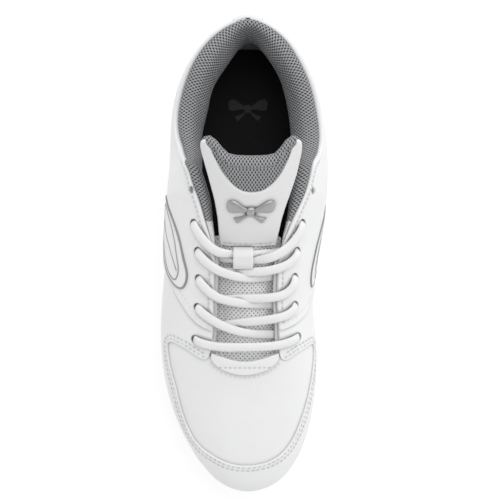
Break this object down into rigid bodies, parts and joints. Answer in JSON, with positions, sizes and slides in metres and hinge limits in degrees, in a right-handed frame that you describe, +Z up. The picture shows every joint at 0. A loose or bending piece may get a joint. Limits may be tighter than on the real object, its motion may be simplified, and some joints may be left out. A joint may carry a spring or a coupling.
{
  "type": "cheer shoe",
  "caption": "Low white leather cheer trainer with a padded grey mesh collar, laced throat, folding tongue and lifting footbed.",
  "frame": {"origin": "on the ground, under the middle of the shoe's box", "axes": "+Z up, +Y from toe to heel, +X to the shoe's medial side (a right shoe)"},
  "size_m": [0.0981, 0.276, 0.1124],
  "materials": {
    "upper_leather": "smooth white coated leather, fine grain, low gloss",
    "emblem_film": "raised white film with a silver piped edge",
    "badge_film": "embossed silver grey film",
    "collar_mesh": "grey spacer mesh with small oval holes",
    "padding_foam": "open polyurethane foam",
    "lining_fabric": "black brushed lining",
    "tongue_mesh": "white diamond mesh",
    "stiffener": "thermoplastic stiffener sheet",
    "board": "lasting board",
    "footbed": "black textile over moulded foam",
    "midsole_foam": "white moulded EVA, satin",
    "outsole_rubber": "pale grey rubber, matt",
    "lace_cord": "white flat woven polyester lace",
    "loop_webbing": "white ribbed webbing",
    "aglet_plastic": "clear white plastic tip"
  },
  "bodies": {
    "shoe": {"outsole": "outsole_rubber", "midsole": "midsole_foam", "lasting_board": "board", "vamp": "upper_leather", "toe_foxing": "upper_leather", "saddle_lateral": "upper_leather", "saddle_medial": "upper_leather", "quarter_lateral": "upper_leather", "quarter_medial": "upper_leather", "heel_backstay": "upper_leather", "toe_puff": "stiffener", "heel_counter": "stiffener", "eyestay_backing_lateral": "stiffener", "eyestay_backing_medial": "stiffener", "vamp_lining": "lining_fabric", "heel_lining": "lining_fabric", "collar_lining": "collar_mesh", "collar_foam": "padding_foam", "throat_trim": "upper_leather", "side_emblem_lateral": "emblem_film", "side_emblem_medial": "emblem_film", "tongue_lower": "tongue_mesh", "lace_loop": "loop_webbing", "lace": "lace_cord", "aglet_medial": "aglet_plastic", "aglet_lateral": "aglet_plastic"},
    "tongue_flap": {"tongue_cover": "upper_leather", "tongue_pad": "padding_foam", "tongue_lining": "collar_mesh", "tongue_badge": "badge_film"},
    "footbed": {"sockliner": "footbed"}
  },
  "joints": [
    {"name": "tongue_fold", "type": "hinge", "parent": "shoe", "child": "tongue_flap", "pos_m": [0.004, 0.0113, 0.0797], "axis": [1, 0, 0], "range_deg": [-10, 50]},
    {"name": "footbed_lift", "type": "hinge", "parent": "shoe", "child": "footbed", "pos_m": [0.004, -0.126, 0.0245], "axis": [1, 0, 0], "range_deg": [0, 3]}
  ]
}
